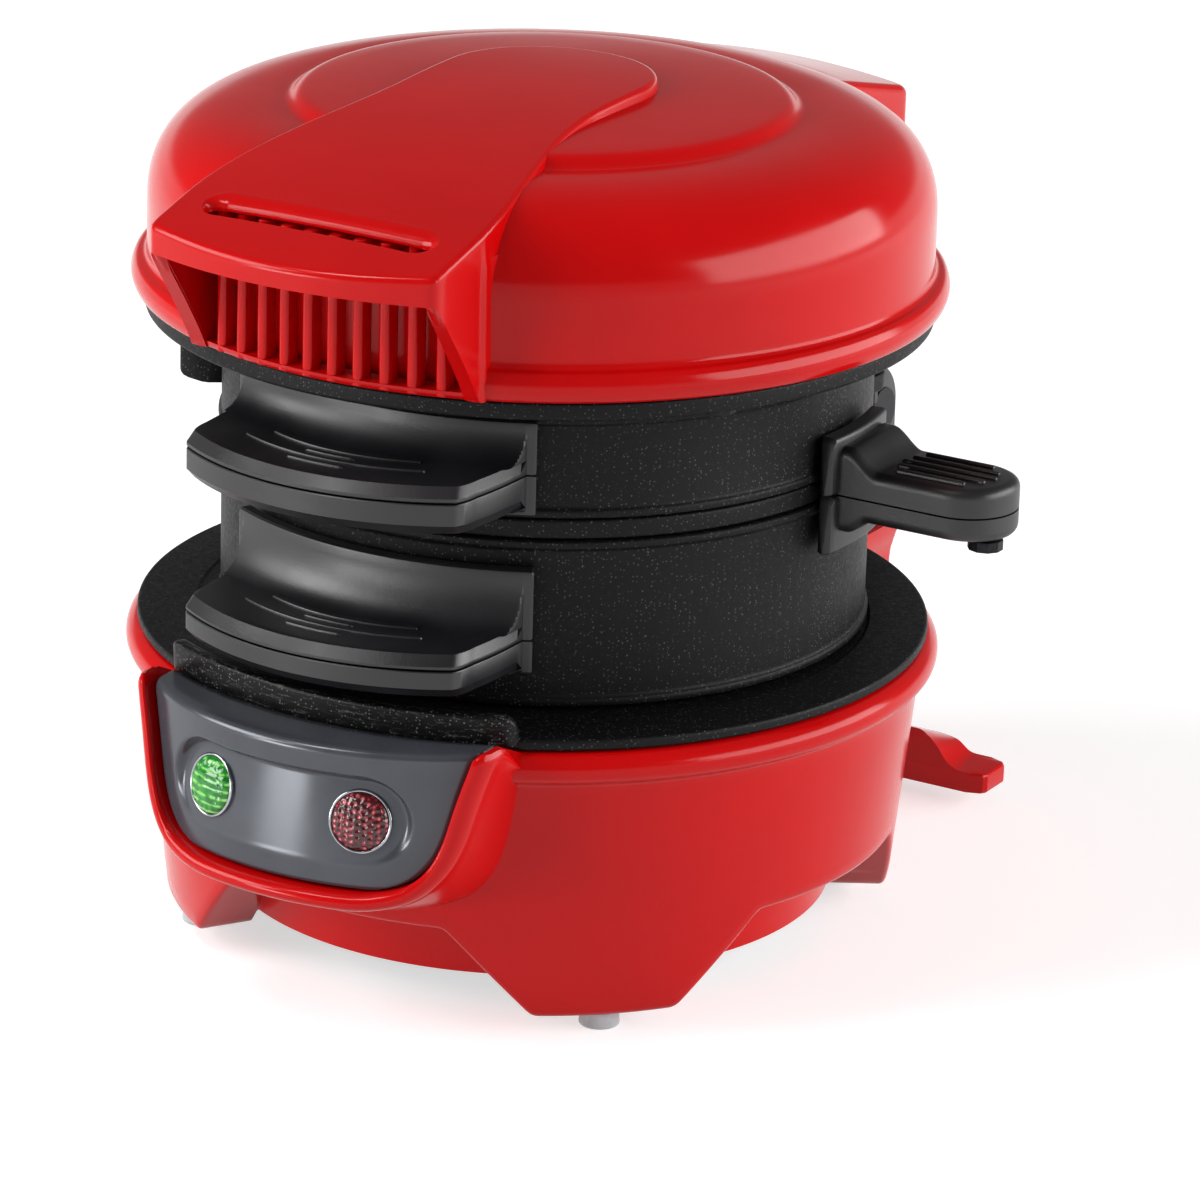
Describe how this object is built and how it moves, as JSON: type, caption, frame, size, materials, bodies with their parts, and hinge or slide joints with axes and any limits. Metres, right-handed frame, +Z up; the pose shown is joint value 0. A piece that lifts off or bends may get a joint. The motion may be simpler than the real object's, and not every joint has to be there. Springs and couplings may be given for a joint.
{
  "type": "breakfast sandwich maker",
  "caption": "Round electric sandwich maker: heated base with lamps, stacked cooking rings, swinging egg plate, domed lid with strap grip, all on a rear hinge.",
  "frame": {"origin": "on the table, under the middle of the bounding box", "axes": "+Z up; -Y towards the front, where the lamps and ring grips are; +X towards the egg plate's grip, at the right of someone who faces the front"},
  "size_m": [0.1478, 0.1712, 0.1392],
  "materials": {
    "red_gloss": "glossy moulded",
    "black_plastic": "satin moulded",
    "nonstick": "speckled black non-stick coating on cast aluminium",
    "grey_gloss": "glossy moulded",
    "steel": "plain",
    "ceramic": "matt",
    "green_lens": "faceted clear lens",
    "red_lens": "dimpled clear lens",
    "pad": "translucent"
  },
  "bodies": {
    "base": {"base_housing": "red_gloss", "foot_pad_front_right": "pad", "foot_pad_front_left": "pad", "foot_pad_rear_right": "pad", "foot_pad_rear_left": "pad", "bottom_pan": "black_plastic", "base_screw_1": "steel", "base_screw_2": "steel", "base_screw_3": "steel", "base_screw_4": "steel", "lower_heating_plate": "nonstick", "lower_element": "steel", "lower_heat_shield": "steel", "lower_thermostat": "ceramic", "thermal_fuse": "steel", "terminal_block": "ceramic", "control_panel": "grey_gloss", "green_lamp_lens": "green_lens", "red_lamp_lens": "red_lens", "green_lamp_body": "ceramic", "red_lamp_body": "ceramic", "hinge_bracket": "black_plastic", "bracket_screw_1": "steel", "bracket_screw_2": "steel", "hinge_pin": "steel", "cord_gland": "black_plastic"},
    "bottom_ring_body": {"bottom_ring": "nonstick", "bottom_ring_grip_top": "black_plastic", "bottom_ring_grip_bottom": "black_plastic", "bottom_ring_grip_screw_left": "steel", "bottom_ring_grip_screw_right": "steel"},
    "top_ring_body": {"top_ring": "nonstick", "top_ring_grip_top": "black_plastic", "top_ring_grip_bottom": "black_plastic", "top_ring_grip_screw_left": "steel", "top_ring_grip_screw_right": "steel", "egg_pivot_pin": "steel"},
    "egg_plate_body": {"egg_plate": "nonstick", "egg_grip_top": "black_plastic", "egg_grip_bottom": "black_plastic", "egg_grip_screw": "steel"},
    "lid": {"lid_shell": "red_gloss", "upper_heating_plate": "nonstick", "upper_element": "steel", "upper_heat_shield": "steel", "upper_thermostat": "ceramic", "lid_screw_1": "steel", "lid_screw_2": "steel", "lid_screw_3": "steel", "lid_screw_4": "steel", "lid_hinge_bracket": "black_plastic"}
  },
  "joints": [
    {"name": "bottom_ring_lift", "type": "hinge", "parent": "base", "child": "bottom_ring_body", "pos_m": [-0.0082, 0.07205, 0.0665], "axis": [-1, 0, 0], "range_deg": [0, 25]},
    {"name": "top_ring_lift", "type": "hinge", "parent": "bottom_ring_body", "child": "top_ring_body", "pos_m": [-0.0082, 0.07205, 0.0665], "axis": [-1, 0, 0], "range_deg": [0, 35]},
    {"name": "lid_open", "type": "hinge", "parent": "top_ring_body", "child": "lid", "pos_m": [-0.0082, 0.07205, 0.0665], "axis": [-1, 0, 0], "range_deg": [0, 95]},
    {"name": "egg_plate_swing", "type": "hinge", "parent": "top_ring_body", "child": "egg_plate_body", "pos_m": [0.0198, 0.04755, 0.08], "axis": [0, 0, 1], "range_deg": [0, 100]}
  ]
}
